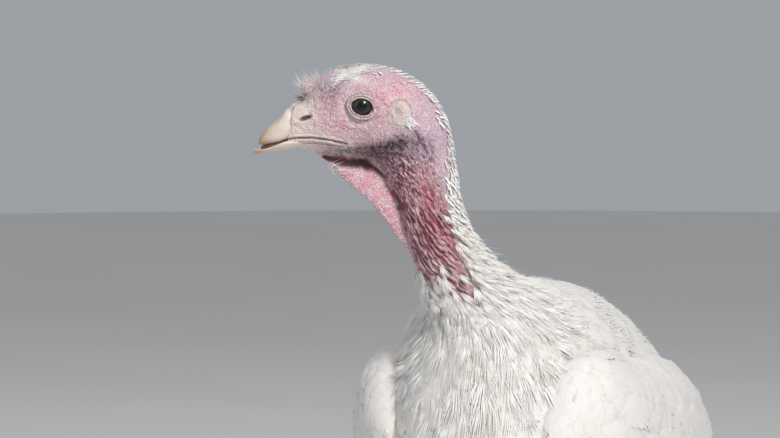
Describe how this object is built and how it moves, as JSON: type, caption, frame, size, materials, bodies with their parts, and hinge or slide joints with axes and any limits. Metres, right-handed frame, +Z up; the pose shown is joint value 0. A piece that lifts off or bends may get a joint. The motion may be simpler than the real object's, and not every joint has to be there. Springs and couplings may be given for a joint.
{
  "type": "domestic turkey",
  "caption": "Life-size white domestic turkey hen standing with folded wings, her bare pink head turned to her right in profile.",
  "frame": {"origin": "on the floor, under the middle of the whole bird's box", "axes": "+Z up, the breast faces -Y and the tail runs back towards +Y, the bird's left side is +X; the head is turned to the bird's right, so the bill points mostly to -X"},
  "size_m": [0.2182, 0.626, 0.5539],
  "materials": {
    "face_skin": "matte, finely wrinkled bare skin, pale pink with red mottling",
    "neck_skin": "matte, deeply wrinkled bare skin, pink with red valleys",
    "plumage": "matte white feathers, slightly cream-stained",
    "bill": "satin horn, ivory to tan",
    "eye": "wet gloss, dark brown iris",
    "leg_scales": "satin scales, pale pinkish grey",
    "claws": "satin horn, grey-tan"
  },
  "bodies": {
    "root": {"head": "face_skin", "eye_left": "eye", "eye_right": "eye", "ear_left": "plumage", "ear_right": "plumage", "snood": "face_skin", "upper_bill": "bill", "lower_bill": "bill", "dewlap": "neck_skin", "neck_upper": "neck_skin", "neck_lower": "plumage", "breast": "plumage", "back": "plumage", "rump": "plumage", "tail": "plumage", "claw_hind_left": "claws", "claw_hind_right": "claws", "claw_inner_left": "claws", "claw_inner_right": "claws", "claw_middle_left": "claws", "claw_middle_right": "claws", "claw_outer_left": "claws", "claw_outer_right": "claws", "foot_left": "leg_scales", "foot_right": "leg_scales", "shank_left": "leg_scales", "shank_right": "leg_scales", "thigh_left": "plumage", "thigh_right": "plumage", "toe_hind_left": "leg_scales", "toe_hind_right": "leg_scales", "toe_inner_left": "leg_scales", "toe_inner_right": "leg_scales", "toe_middle_left": "leg_scales", "toe_middle_right": "leg_scales", "toe_outer_left": "leg_scales", "toe_outer_right": "leg_scales", "wing_left_coverts": "plumage", "wing_left_primaries": "plumage", "wing_left_secondaries": "plumage", "wing_right_coverts": "plumage", "wing_right_primaries": "plumage", "wing_right_secondaries": "plumage"}
  },
  "joints": []
}
